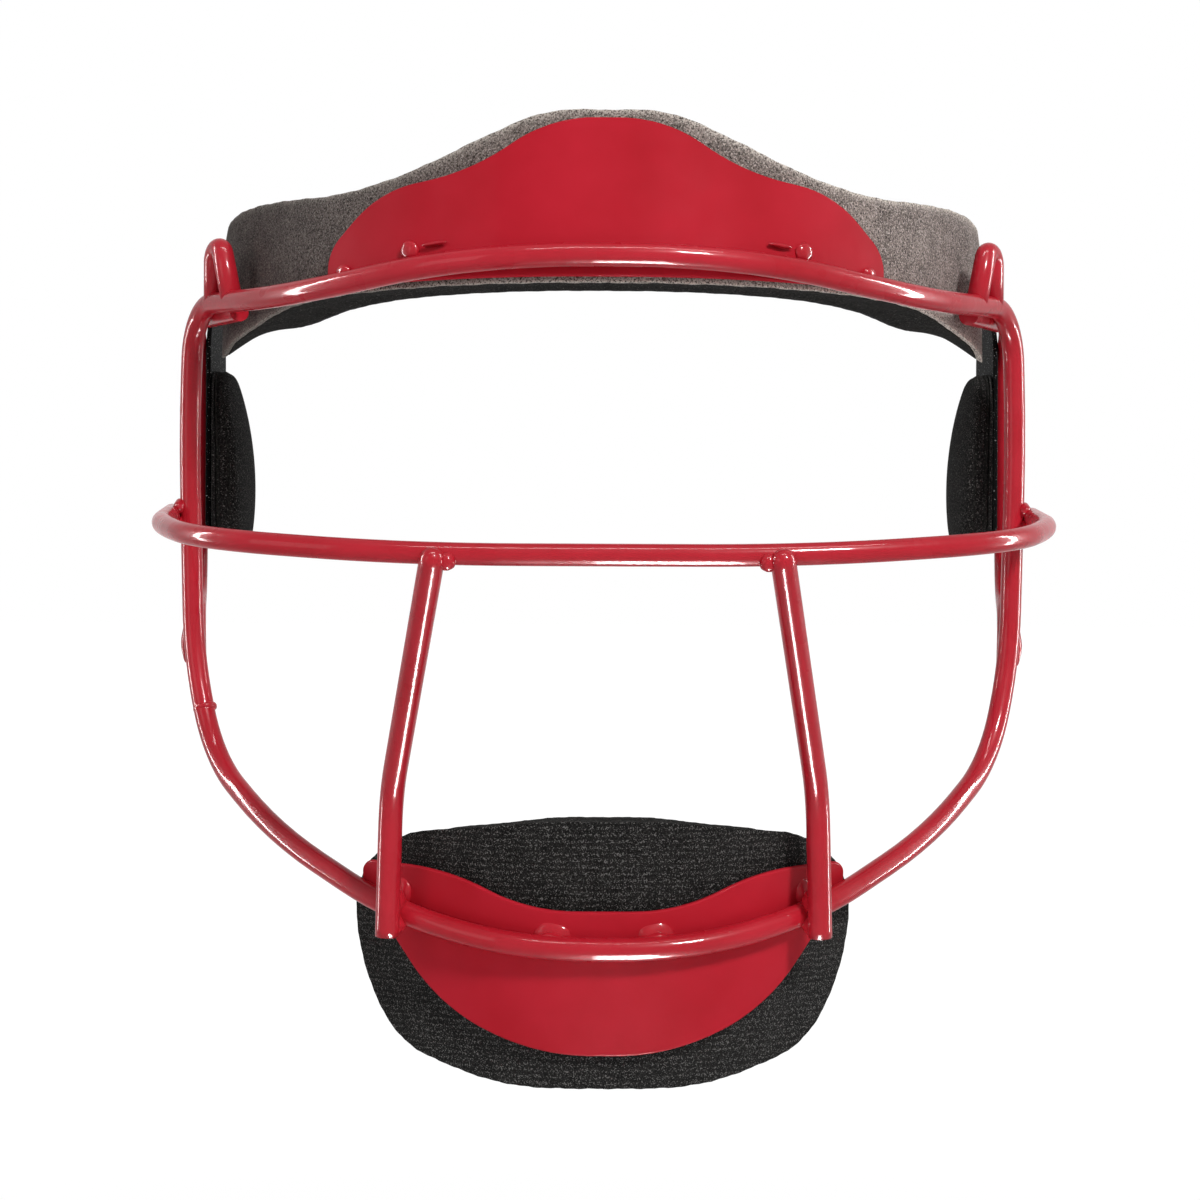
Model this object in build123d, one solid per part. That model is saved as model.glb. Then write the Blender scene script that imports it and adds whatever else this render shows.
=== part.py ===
from build123d import *
import math
import os

os.makedirs("parts", exist_ok=True)

# A welded wire face guard for softball fielders, in millimetres.
# +X is to the right seen from the front, +Y points at the wearer and +Z is up. The origin is on the
# centre plane, between the temple wires, halfway from the brow bar down to the chin wire.

# Overall sizes of the frame, to the centre lines of its wires
temple_half_width = 97.8
brow_height = 72.0
brow_reach = 79.0
brow_corner_radius = 12.0
chin_drop = 74.0
chin_reach = 71.0
eye_bar_height = 9.0
eye_bar_reach = 100.5
eye_bar_rise = 11.0
eye_bar_tail = 7.0

# Wire diameters, powder coat included
loop_wire = 5.0
eye_wire = 4.6
upright_wire = 5.2
strap_wire = 4.6
hairpin_wire = 5.0

# How the wires bend and meet
bend_share = 0.48
weld_gap = 0.05
butt_gap = 0.15
overrun = 60.0

# Routes, as shares of the frame sizes: half width, reach to the front, height or drop
brow_route_shares = ((0.286, 1.0, 1.0), (0.716, 0.633, 0.921), (1.0, 0.0, 0.972))
temple_bow = 0.9
temple_height_share = 0.555
jaw_route_shares = ((0.996, 0.0, 0.189), (0.936, 0.099, 0.512), (0.76, 0.437, 0.719),
                    (0.47, 0.803, 0.915), (0.184, 1.0, 1.0))
eye_route_shares = ((0.409, 1.0, 0.0), (0.859, 0.866, 0.3), (0.998, 0.517, 0.655))

# Uprights from the eye bar to the chin wire
upright_head_share = 0.357
upright_head_proud = 1.5
upright_head_drop = 1.2
upright_knee_share = 0.554
upright_knee_step = 0.5
upright_knee_reach = 3.5
upright_foot_length = 5.0

# Strap bars behind the temple wires
strap_bar_reach = 26.0
strap_bar_flare = 2.4
strap_bar_head_share = 0.62
strap_bar_sink = 1.2
strap_bar_head_slope = 0.7
strap_bar_top_drop = 4.0
strap_bar_shoulder = 8.0
strap_bar_knee_height = 4.0
strap_bar_joggle_drop = 4.0
strap_bar_lap = 13.0

# Hairpin strap loops on the brow corners
hairpin_height = 12.5
hairpin_front_share = 0.57
hairpin_rear_share = 0.81
hairpin_spread = 4.4
hairpin_bend = 2.8

# Plates of formed steel sheet
plate_thickness = 1.6
plate_seat_gap = 0.1
plate_edge_radius = 0.5
brow_plate_lean = 0.14
brow_plate_rise = 30.0
brow_plate_drop = 4.2
brow_plate_half_width = 61.0
brow_plate_toe_radius = 1.6
brow_plate_shares = ((0.2, 0.0), (0.475, 0.325), (0.81, 0.41), (1.0, 0.76), (1.0, 1.0))
chin_plate_lean = 0.2
chin_plate_rise = 16.8
chin_plate_drop = 23.9
chin_plate_half_width = 53.0
chin_plate_ear_radii = (2.6, 4.0)
chin_plate_shares = ((0.3, 0.22), (0.64, 0.015), (1.0, 0.0), (1.0, 0.155), (0.67, 0.77), (0.26, 1.0))

# Pads: laminated cloth and foam, held to the metal by hook tape
tape_thickness = 0.8
pad_clearance = 0.3
cloth_thickness = 1.4
brow_pad_thickness = 16.0
brow_pad_rise = 32.2
brow_pad_drop = 5.2
brow_pad_half_width = 93.0
brow_pad_end_drop = 9.8
brow_pad_tail = 18.0
brow_pad_flare = 4.0
brow_pad_tuck = 3.2
brow_pad_end_radii = (4.5, 9.0, 1.6)
brow_pad_shares = ((0.14, 0.0), (0.54, 0.43), (0.945, 0.32), (1.0, 0.54))
brow_pad_hem_shares = ((0.995, 1.0), (0.86, 0.35), (0.62, 0.0))
brow_tape_shares = (0.72, 0.5, 0.86)
chin_pad_thickness = 14.0
chin_pad_rise = 27.0
chin_pad_drop = 31.7
chin_pad_half_width = 55.8
chin_pad_shares = ((0.22, 0.0), (0.81, 0.066), (1.0, 0.255), (0.975, 0.57), (0.825, 0.87), (0.4, 1.0))
chin_tape_shares = (0.62, 0.3, 0.66)
side_pad_length = 36.0
side_pad_height = 43.5
side_pad_thickness = 9.4
side_pad_peak_share = 0.33
side_pad_crown_radius = 82.0
side_pad_bow_radius = 80.0
side_pad_heel_radius = 130.0
side_pad_base = 13.0
side_pad_front = 12.0
side_pad_end_radius = 15.0

# Hook strips that hold the side pads, each wrapped round a strap bar
wrap_thickness = 1.2
wrap_length = 24.0
wrap_base = 13.0
wrap_height = 52.0
wrap_sleeve_base = 15.5
wrap_sleeve_height = 37.0
wrap_fit = 0.05

# Weld beads: drops of metal in the seams, and a ring round the butt joint
bead_radius = 1.9
bead_rise = 2.2
lap_bead_radius = 1.4
lap_bead_rise = 1.7
seam_ring_rise = 0.7
seam_ring_length = 4.0
seam_ring_fit = 0.12
seam_ring_edge = 0.5
chin_bead_share = 0.61
brow_bead_shares = (0.37, 0.74)


def bend_radii(route, closed=False):
    """Largest smooth radius at each corner, from the shorter of the two runs that meet there."""
    ring = [route[-1]] + route + [route[0]] if closed else route
    radii = []
    for before, corner, after in zip(ring, ring[1:], ring[2:]):
        turn = math.radians((corner - before).get_angle(after - corner))
        run = min((corner - before).length, (after - corner).length)
        radii.append(bend_share * run / math.tan(turn / 2))
    return radii


def bend_middle(before, corner, after, radius):
    """Middle point of a rounded corner and the direction of travel there."""
    into = (before - corner).normalized()
    away = (after - corner).normalized()
    half_turn = math.radians((corner - before).get_angle(after - corner)) / 2
    middle = corner + (into + away).normalized() * (radius * (1 / math.cos(half_turn) - 1))
    return middle, (away - into).normalized()


def tube(route, radii, diameter):
    """Round wire along straight runs joined by tangent arcs."""
    path = FilletPolyline(*route, radius=radii)
    section = Plane(origin=path @ 0, z_dir=path % 0) * Circle(diameter / 2)
    return sweep(section, path=path)


def mirrored(points):
    """The same points on the other side of the centre plane, in reverse order."""
    return [Vector(-p.X, p.Y, p.Z) for p in reversed(points)]


def brow_route():
    """Right half of the brow bar, from near the centre to the temple corner."""
    return [Vector(x * temple_half_width, -y * brow_reach, z * brow_height)
            for x, y, z in brow_route_shares]


def temple_point():
    """Where the temple wire bows out most, between its corner and the jaw."""
    return Vector(temple_half_width + temple_bow, 0, temple_height_share * brow_height)


def jaw_route():
    """Right half of the jaw and chin wire, from the temple to near the centre."""
    return [Vector(x * temple_half_width, -y * chin_reach, -z * chin_drop)
            for x, y, z in jaw_route_shares]


def temple_wire_at(height):
    """Centre of the right temple wire at a height on its straight run."""
    top = temple_point()
    bottom = jaw_route()[0]
    return top + (bottom - top) * ((top.Z - height) / (top.Z - bottom.Z))


def perimeter_wire():
    """One closed loop over brow, temples, jaw and chin, butt welded on one cheek."""
    right = brow_route() + [temple_point()] + jaw_route()
    left = mirrored(right)
    jaw_count = len(jaw_route())
    ring = left[jaw_count - 1:] + right + left[:jaw_count - 1]
    radii = bend_radii(ring, closed=True)
    corners = [i for i, p in enumerate(ring) if p == brow_route()[-1] or p == mirrored(brow_route())[0]]
    for i in corners:
        radii[i] = brow_corner_radius
    seam, along = butt_seam()
    start = seam + along * (butt_gap / 2)
    end = seam - along * (butt_gap / 2)
    return tube([start] + ring + [end], radii, loop_wire)


def butt_seam():
    """Place of the butt joint on the cheek and the direction of the wire there."""
    upper, lower = mirrored(jaw_route())[-1], mirrored(jaw_route())[-2]
    return (upper + lower) / 2, (upper - lower).normalized()


def eye_route():
    """Right half of the eye bar, from near the centre to its tail beside the temple wire."""
    points = [Vector(x * temple_half_width, -y * eye_bar_reach, eye_bar_height + z * eye_bar_rise)
              for x, y, z in eye_route_shares]
    return points + [eye_bar_crossing() + eye_bar_heading() * eye_bar_tail]


def eye_bar_crossing():
    """Centre of the eye bar where it lies against the outside of the temple wire."""
    wire = temple_wire_at(eye_bar_height + eye_bar_rise)
    return wire + Vector((loop_wire + eye_wire) / 2 + weld_gap, 0, 0)


def eye_bar_heading():
    """Direction of the eye bar's last run."""
    x, y, z = eye_route_shares[-1]
    last = Vector(x * temple_half_width, -y * eye_bar_reach, eye_bar_height + z * eye_bar_rise)
    return (eye_bar_crossing() - last).normalized()


def eye_bar():
    """Bar under the eyes, bowed forward and lapped outside both temple wires."""
    right = eye_route()
    route = mirrored(right) + right
    return tube(route, bend_radii(route), eye_wire)


def chin_wire_by_upright():
    """Centre and heading of the chin wire where the right upright crosses it."""
    route = jaw_route()
    return bend_middle(route[2], route[3], route[4], bend_radii(route)[2])


def upright_foot():
    """Centre of the upright where it crosses in front of the chin wire."""
    wire, heading = chin_wire_by_upright()
    forward = Vector(-heading.Y, heading.X, 0).normalized()
    return wire + forward * ((loop_wire + upright_wire) / 2 + weld_gap)


def upright_head():
    """Centre of the upright's rounded top, on the front of the eye bar."""
    return Vector(upright_head_share * temple_half_width, -eye_bar_reach - upright_head_proud,
                  eye_bar_height - upright_head_drop)


def upright_bar(eye):
    """Right upright: slants down from the eye bar, then hangs in front of the chin wire."""
    foot = upright_foot()
    knee = Vector(foot.X - upright_knee_step, foot.Y - upright_knee_reach, -upright_knee_share * chin_drop)
    route = [upright_head(), knee, foot - Vector(0, 0, upright_foot_length)]
    bar = tube(route, bend_radii(route), upright_wire)
    bar += Pos(upright_head()) * Sphere(upright_wire / 2)
    return bar - eye


def strap_bar_rear():
    """Rear straight of the right strap bar: its distance out and back."""
    return temple_half_width + strap_bar_flare, strap_bar_reach


def strap_bar_head():
    """Start of the strap bar, let into the back of the brow bar."""
    inner, corner = brow_route()[-2:]
    along = (corner - inner).normalized()
    inward = Vector(-along.Y, along.X, 0).normalized() - Vector(0, 0, strap_bar_head_slope)
    lap = (loop_wire + strap_wire) / 2 - strap_bar_sink
    return inner + (corner - inner) * strap_bar_head_share + inward.normalized() * lap


def strap_bar_tip():
    """Foot of the strap bar, lapped behind the temple wire, and its joggle above."""
    lap = (loop_wire + strap_wire) / 2 + weld_gap
    heights = -strap_bar_joggle_drop, -strap_bar_joggle_drop - strap_bar_lap
    return [temple_wire_at(height) + Vector(0, lap, 0) for height in heights]


def strap_bar(loop):
    """Right strap bar: a hoop behind the temple wire that carries the strap and the side pad."""
    out, back = strap_bar_rear()
    top = brow_height - strap_bar_top_drop
    shoulder = Vector(out, back - strap_bar_shoulder, top)
    route = [strap_bar_head(), shoulder, Vector(out, back, top - strap_bar_shoulder),
             Vector(out, back, strap_bar_knee_height)] + strap_bar_tip()
    return tube(route, bend_radii(route), strap_wire) - loop


def hairpin_feet():
    """Where the two legs of the right strap loop stand on the brow bar."""
    inner, corner = brow_route()[-2:]
    return [inner + (corner - inner) * share for share in (hairpin_front_share, hairpin_rear_share)]


def strap_loop(loop):
    """Right strap loop: a wire hairpin that stands on the brow corner."""
    front, rear = hairpin_feet()
    crown = rear + Vector(0, 0, hairpin_height)
    shoulder = crown - (rear - front).normalized() * hairpin_spread
    route = [front, shoulder, crown, rear]
    return tube(route, [hairpin_bend, hairpin_bend], hairpin_wire) - loop


def plan_route(points, lean, level):
    """Both halves of a wire's route in plan, slid along the lean of a plate to one level."""
    half = [Vector(p.X, p.Y - lean * (p.Z - level), 0) for p in points]
    return mirrored(half) + half


def inset(route, distance):
    """A plan route moved towards the wearer by a distance, run by run."""
    runs = [(a + (b - a).normalized().rotate(Axis.Z, 90) * distance, (b - a).normalized())
            for a, b in zip(route, route[1:])]
    corners = [runs[0][0]]
    for (start, along), (other, onward) in zip(runs, runs[1:]):
        apart = other - start
        corners.append(start + along * (apart.cross(onward).Z / along.cross(onward).Z))
    corners.append(runs[-1][0] + runs[-1][1] * (route[-1] - route[-2]).length)
    return corners


def leaned(face, lean, level, foot, head):
    """Prism from a plan face drawn at one level, leaned back or forward between two heights."""
    rise = Vector(0, lean, 1)
    return extrude(Pos(rise * (foot - level) + Vector(0, 0, level)) * face,
                   amount=rise.length * (head - foot), dir=rise)


def band(route, near, far, lean, level, foot, head):
    """Curved sheet between two insets of a plan route."""
    radii = bend_radii(route)
    near_side = inset(route, near)
    far_side = list(reversed(inset(route, far)))
    corner_radii = [0] + [r - near for r in radii] + [0, 0] + [r - far for r in reversed(radii)] + [0]
    face = make_face(FilletPolyline(*near_side, *far_side, radius=corner_radii, close=True))
    return leaned(face, lean, level, foot, head)


def front_outline(half, tight):
    """Prism along Y from the right half of a front outline, listed from top centre to bottom centre.

    Corners are as round as their sides allow, but for the tight ones, given by place in the list.
    """
    points = [Vector(x, -overrun * 2, z) for x, z in half]
    route = points + mirrored(points)
    radii = bend_radii(route, closed=True)
    for place, radius in tight.items():
        radii[place] = radius
        radii[-1 - place] = radius
    face = make_face(FilletPolyline(*route, radius=radii, close=True))
    return extrude(face, amount=overrun * 3, dir=(0, 1, 0))


def brow_plan(tuck):
    """Plan route of the brow plate or pad: the brow bar, tucked in at the corners, and a tail."""
    inner, corner = brow_route()[:-1], brow_route()[-1] - Vector(tuck, 0, 0)
    tail = corner + Vector(brow_pad_flare, brow_pad_tail, 0)
    return plan_route(inner + [corner, tail], brow_plate_lean, brow_height)


def brow_band(near, far, tuck=0):
    """Curved sheet that follows the brow bar, at given distances behind its centre line."""
    return band(brow_plan(tuck), near, far, brow_plate_lean, brow_height,
                brow_height - brow_pad_drop - brow_pad_end_drop * 2,
                brow_height + brow_pad_rise + brow_pad_end_drop)


def brow_pad_band(near, far):
    """Curved sheet of the brow pad, tucked inside the strap bars."""
    return brow_band(near, far, brow_pad_tuck)


def chin_plan():
    """Plan route of the chin plate and pad: the chin wire as far as the cheeks."""
    return plan_route(list(reversed(jaw_route()[2:])), -chin_plate_lean, -chin_drop)


def chin_band(near, far):
    """Curved sheet that follows the chin wire, its foot set back towards the throat."""
    return band(chin_plan(), near, far, -chin_plate_lean, -chin_drop, *chin_band_heights())


def chin_band_heights():
    """Foot and head of the chin sheets before they are cut, a little beyond the pad."""
    return -chin_drop - chin_pad_drop - loop_wire, -chin_drop + chin_pad_rise + loop_wire


def chin_pad_ends():
    """Wedge that squares the chin pad's ends to its own curve."""
    inner, outer = inset(chin_plan(), pad_front())[-2:]
    inward = (outer - inner).normalized().rotate(Axis.Z, 90)
    tip = inner + (outer - inner) * ((chin_pad_half_width - inner.X) / (outer.X - inner.X))
    half = [tip - Vector(0, overrun, 0), tip, tip + inward * chin_pad_thickness * 2]
    face = make_face(Polyline(*half, *mirrored(half), close=True))
    return leaned(face, -chin_plate_lean, -chin_drop, *chin_band_heights())


def outline_points(half_width, level, rise, drop, shares):
    """Corners of a half outline that reaches from a rise above a level to a drop below it."""
    return [(x * half_width, level + rise - z * (rise + drop)) for x, z in shares]


def brow_plate_outline():
    """Front outline of the brow plate: a peak, hollow shoulders and rounded ends."""
    half = outline_points(brow_plate_half_width, brow_height, brow_plate_rise, brow_plate_drop,
                          brow_plate_shares)
    return front_outline(half, {4: brow_plate_toe_radius})


def chin_plate_outline():
    """Front outline of the chin plate: dipped top edge, square ears and a full bottom curve."""
    half = outline_points(chin_plate_half_width, -chin_drop, chin_plate_rise, chin_plate_drop,
                          chin_plate_shares)
    return front_outline(half, {2: chin_plate_ear_radii[0], 3: chin_plate_ear_radii[1]})


def brow_pad_outline():
    """Front outline of the brow pad: higher and wider than its plate, with drooping ends."""
    half = outline_points(brow_pad_half_width, brow_height, brow_pad_rise, brow_pad_drop, brow_pad_shares)
    half += outline_points(brow_pad_half_width, brow_height, -brow_pad_drop,
                           brow_pad_drop + brow_pad_end_drop, brow_pad_hem_shares)
    places = (2, 3, 4)
    return front_outline(half, dict(zip(places, brow_pad_end_radii)))


def chin_pad_outline():
    """Front outline of the chin pad: a low crest, round cheeks and a full bottom curve."""
    half = outline_points(chin_pad_half_width, -chin_drop, chin_pad_rise, chin_pad_drop, chin_pad_shares)
    return front_outline(half, {}) & chin_pad_ends()


def rounded(plate):
    """A sheet with its long edges eased, as the powder coat leaves them."""
    long_edges = [edge for edge in plate.edges() if edge.length > 2 * plate_thickness]
    return fillet(long_edges, plate_edge_radius)


def tape_outline(half_width, level, rise, drop, shares):
    """Prism of a strip of tape, by its share of a plate's half width and of its height."""
    wide, high, low = shares
    centre = level + rise - (rise + drop) * (high + low) / 2
    strip = Box(2 * wide * half_width, overrun * 3, (rise + drop) * (low - high))
    return Pos(0, -overrun / 2, centre) * strip


def plate_back():
    """Distance from a wire's centre line to the back of the plate behind it."""
    return loop_wire / 2 + plate_seat_gap + plate_thickness


def pad_front():
    """Distance from a wire's centre line to the face of the pad behind its plate and tape."""
    return plate_back() + tape_thickness + pad_clearance


def laminate(sheet, outline, thickness):
    """Face cloth, foam and liner of a pad, cut to one outline."""
    face = pad_front() + cloth_thickness
    back = pad_front() + thickness
    layers = (pad_front(), face), (face, back - cloth_thickness), (back - cloth_thickness, back)
    return [sheet(near, far) & outline for near, far in layers]


def side_pad_face():
    """Distance out from the centre plane to the outer face of a side pad."""
    out = strap_bar_rear()[0]
    return out - strap_wire / 2 - wrap_fit - wrap_thickness - pad_clearance


def side_pad_block(cover, backing):
    """Right side pad less a cover and a backing: round ended, crowned inside, bowed to the strip."""
    outer = side_pad_face() - backing
    inner = side_pad_face() - side_pad_thickness + cover
    middle = side_pad_front + side_pad_length / 2
    peak = side_pad_base + side_pad_height * side_pad_peak_share
    outline = Plane.YZ * fillet(Rectangle(side_pad_length, side_pad_height).vertices(), side_pad_end_radius)
    prism = extrude(outline, amount=side_pad_thickness * 2, dir=(-1, 0, 0))
    prism = Pos(side_pad_face(), middle, side_pad_base + side_pad_height / 2) * prism
    tall = side_pad_height * 3
    crown = Rot(X=90) * Cylinder(side_pad_crown_radius, side_pad_length * 2)
    crown = Pos(inner + side_pad_crown_radius, middle, peak) * crown
    bow = Pos(inner + side_pad_bow_radius, middle, peak) * Cylinder(side_pad_bow_radius, tall)
    heel = Pos(outer - side_pad_heel_radius, middle, peak) * Cylinder(side_pad_heel_radius, tall)
    return prism & crown & bow & heel


def side_pad():
    """Loop backing, foam and cover of the right side pad."""
    whole = side_pad_block(0, 0)
    bare = side_pad_block(cloth_thickness, 0)
    foam = side_pad_block(cloth_thickness, cloth_thickness)
    return bare - foam, foam, whole - bare


def hook_wrap():
    """Right hook strip: a flat strip beside the side pad, its edge bonded round the strap bar's back."""
    out, back = strap_bar_rear()
    bore = strap_wire / 2 + wrap_fit
    around = bore + wrap_thickness
    strip = Pos(out - bore - wrap_thickness / 2, back + wrap_length / 2, wrap_base)
    strip *= Rectangle(wrap_thickness, wrap_length)
    half_round = Circle(around) & Pos(0, around) * Rectangle(around * 2, around * 2)
    sleeve = Pos(out, back, wrap_sleeve_base) * (half_round - Circle(bore))
    return extrude(strip, amount=wrap_height) + extrude(sleeve, amount=wrap_sleeve_height)


def bead(radius, centre, across, *members):
    """Drop of weld metal in a seam, its poles buried in the members it joins, and cut back to them."""
    drop = Plane(origin=centre, z_dir=across) * Sphere(radius)
    for member in members:
        drop -= member
    return drop


def lap_beads(middle, across, along, members):
    """Beads in both valleys of a lap, from the middle between two wires and the directions there."""
    valley = across.cross(along).normalized() * lap_bead_rise
    return [bead(lap_bead_radius, middle + valley * side, across, *members) for side in (1, -1)]


def upright_beads(eye, upright, loop):
    """Beads inside the right upright's head and on both sides of its foot."""
    head = upright_head() - Vector(upright_wire / 2, 0, 0)
    wire, heading = chin_wire_by_upright()
    seam = (wire + upright_foot()) / 2 + Vector(0, 0, bead_radius / 2)
    beads = lap_beads(seam, upright_foot() - wire, Vector(0, 0, 1), (loop, upright))
    return beads + [bead(bead_radius, head, Vector(0, 0, 1), eye, upright)]


def crevice_bead(wire, along, loop, plate):
    """Bead between the top of a wire and the plate behind it."""
    inward = Vector(-along.Y, along.X, 0).normalized() * bead_radius
    return bead(bead_radius, wire + inward + Vector(0, 0, bead_rise), inward, loop, plate)


def plate_beads(loop, brow_plate, chin_plate):
    """Beads above the brow bar and above the chin wire, on the right."""
    near, corner = brow_route()[:2]
    beads = [crevice_bead(near + (corner - near) * share, corner - near, loop, brow_plate)
             for share in brow_bead_shares]
    chin = jaw_route()[-1]
    spot = Vector(chin.X * chin_bead_share, chin.Y, chin.Z)
    return beads + [crevice_bead(spot, Vector(1, 0, 0), loop, chin_plate)]


def temple_beads(loop, eye, strap):
    """Beads at the eye bar's lap and at the foot of the strap bar, on the right."""
    out, back = Vector(1, 0, 0), Vector(0, 1, 0)
    eye_seam = eye_bar_crossing() - out * (eye_wire / 2)
    joggle, tip = strap_bar_tip()
    foot_seam = (joggle + tip) / 2 - back * (strap_wire / 2)
    beads = lap_beads(eye_seam, out, eye_bar_heading(), (loop, eye))
    return beads + lap_beads(foot_seam, back, joggle - tip, (loop, strap))


def seam_ring():
    """Ring of weld metal round the butt joint of the perimeter wire."""
    seam, along = butt_seam()
    bore = loop_wire / 2 + seam_ring_fit
    ring = Cylinder(bore + seam_ring_rise, seam_ring_length)
    ring = fillet(ring.edges(), seam_ring_edge) - Cylinder(bore, seam_ring_length)
    return Plane(origin=seam, z_dir=along) * ring


def weld_beads(parts):
    """All weld beads, each a separate solid, on both sides of the frame."""
    loop = parts["perimeter_wire"]
    right = upright_beads(parts["eye_bar"], parts["right_upright_bar"], loop)
    right += plate_beads(loop, parts["forehead_plate"], parts["chin_plate"])
    right += temple_beads(loop, parts["eye_bar"], parts["right_strap_bar"])
    left = [mirror(solid, about=Plane.YZ) for solid in right]
    return Compound([piece for solid in right + left + [seam_ring()] for piece in solid.solids()])


def both(solid, name, parts):
    """Stores a part made for the right, and its mirror image for the left."""
    parts["right_" + name] = solid
    parts["left_" + name] = mirror(solid, about=Plane.YZ)


parts = {}
parts["perimeter_wire"] = perimeter_wire()
parts["eye_bar"] = eye_bar()
both(upright_bar(parts["eye_bar"]), "upright_bar", parts)
both(strap_bar(parts["perimeter_wire"]), "strap_bar", parts)
both(strap_loop(parts["perimeter_wire"]), "strap_loop", parts)
plate_front = loop_wire / 2 + plate_seat_gap
parts["forehead_plate"] = rounded(brow_band(plate_front, plate_back()) & brow_plate_outline())
parts["chin_plate"] = rounded(chin_band(plate_front, plate_back()) & chin_plate_outline())
parts["weld_beads"] = weld_beads(parts)
parts["forehead_hook_tape"] = brow_band(plate_back(), plate_back() + tape_thickness) & tape_outline(
    brow_plate_half_width, brow_height, brow_plate_rise, brow_plate_drop, brow_tape_shares)
parts["chin_hook_tape"] = chin_band(plate_back(), plate_back() + tape_thickness) & tape_outline(
    chin_plate_half_width, -chin_drop, chin_plate_rise, chin_plate_drop, chin_tape_shares)
for pad, sheet, outline, thickness in (
        ("forehead_pad", brow_pad_band, brow_pad_outline(), brow_pad_thickness),
        ("chin_pad", chin_band, chin_pad_outline(), chin_pad_thickness)):
    for layer, solid in zip(("face", "foam", "liner"), laminate(sheet, outline, thickness)):
        parts[f"{pad}_{layer}"] = solid
for layer, solid in zip(("backing", "foam", "cover"), side_pad()):
    both(solid, f"side_pad_{layer}", parts)
both(hook_wrap(), "hook_wrap", parts)

for name, solid in parts.items():
    export_step(solid, f"parts/{name}.step")
    print(name, round(solid.volume), len(solid.solids()))
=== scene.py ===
# %% [markdown]
# # A softball face guard
# A fielder's face guard is a cage of bent steel wire, welded, powder coated and lined with foam pads.
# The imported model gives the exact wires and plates. This lesson dresses it: a gloss coat on the
# metal, cloth and foam on the pads, hook tape behind them, and a plain studio to see it in.

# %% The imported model
import math
import bpy
import bmesh
import numpy as np
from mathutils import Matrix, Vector


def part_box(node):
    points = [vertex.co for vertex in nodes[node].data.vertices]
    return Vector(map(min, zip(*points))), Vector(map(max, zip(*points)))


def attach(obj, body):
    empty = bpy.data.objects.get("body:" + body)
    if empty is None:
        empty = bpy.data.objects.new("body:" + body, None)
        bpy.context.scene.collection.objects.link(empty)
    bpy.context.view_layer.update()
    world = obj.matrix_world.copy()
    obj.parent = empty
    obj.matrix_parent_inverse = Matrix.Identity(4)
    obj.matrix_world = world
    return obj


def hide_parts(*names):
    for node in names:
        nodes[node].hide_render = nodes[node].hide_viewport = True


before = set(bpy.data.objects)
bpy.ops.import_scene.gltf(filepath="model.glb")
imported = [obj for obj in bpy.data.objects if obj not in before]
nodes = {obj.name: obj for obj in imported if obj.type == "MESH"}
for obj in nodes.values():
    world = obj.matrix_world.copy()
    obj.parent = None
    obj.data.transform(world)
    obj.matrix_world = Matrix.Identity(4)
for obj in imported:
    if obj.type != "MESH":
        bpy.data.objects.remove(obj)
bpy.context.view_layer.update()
mm = 0.001
sides = (("right", 1), ("left", -1))


def linked(name, data):
    """A new object that holds some data, linked to the scene."""
    item = bpy.data.objects.new(name, data)
    bpy.context.scene.collection.objects.link(item)
    return item


# %% [markdown]
# ## Routes
# Every wire of the guard is bent from a few straight runs joined by arcs, and the pads follow the same
# routes. The runs are short lists of points, so each route is kept as points and rounded when needed:
# a helper replaces each corner by an arc that touches both runs.

# %% Rounding a route
bend_share, straight = 0.48, 0.001


def rounded(points, tight={}, steps=16):
    """A route with each corner replaced by an arc.

    The arc touches both runs at a share of the shorter run away from the corner, so its radius is
    that distance divided by the tangent of half the turn.
    """
    points = [np.array(p, float) for p in points]
    pieces = [points[:1]]
    for i in range(1, len(points) - 1):
        corner = points[i]
        back, on = points[i - 1] - corner, points[i + 1] - corner
        short = min(np.linalg.norm(back), np.linalg.norm(on)) * bend_share
        back, on = back / np.linalg.norm(back), on / np.linalg.norm(on)
        turn = math.pi - math.acos(np.clip(back @ on, -1, 1))
        if turn < straight:
            pieces.append(points[i:i + 1])
            continue
        radius = tight.get(i, short / math.tan(turn / 2))
        middle = corner + (back + on) / np.linalg.norm(back + on) * radius / math.cos(turn / 2)
        reach = radius * math.tan(turn / 2)
        first, last = corner + back * reach - middle, corner + on * reach - middle
        angle = np.linspace(0, turn, steps)[:, None]
        pieces.append(middle + (np.sin(turn - angle) * first + np.sin(angle) * last) / math.sin(turn))
    pieces.append(points[-1:])
    return np.concatenate([np.array(piece) for piece in pieces])


def spaced(route, count):
    """A route sampled at even distances along it."""
    length = np.concatenate([[0], np.cumsum(np.linalg.norm(np.diff(route, axis=0), axis=1))])
    steps = np.linspace(0, length[-1], count)
    return np.stack([np.interp(steps, length, axis) for axis in route.T], axis=1)


brow = np.array([(28.0, -79.0, 72.0), (70.0, -50.0, 66.3), (97.8, 0.0, 70.0)]) * mm
chin = np.array([(18.0, -71.0, -74.0), (46.0, -57.0, -67.7), (74.3, -31.0, -53.2)]) * mm
print("brow bar and chin wire routes of", len(rounded(brow)), "and", len(rounded(chin)), "points")

# %% [markdown]
# ## A pad's space
# Each pad is cut flat from a laminate and then bent round the metal. So a pad is drawn in its own
# flat coordinates: a distance along the bend, a height, and a depth behind the wire. A small class
# turns flat coordinates into places in the guard, from the same routes and leans as the metal.

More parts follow.
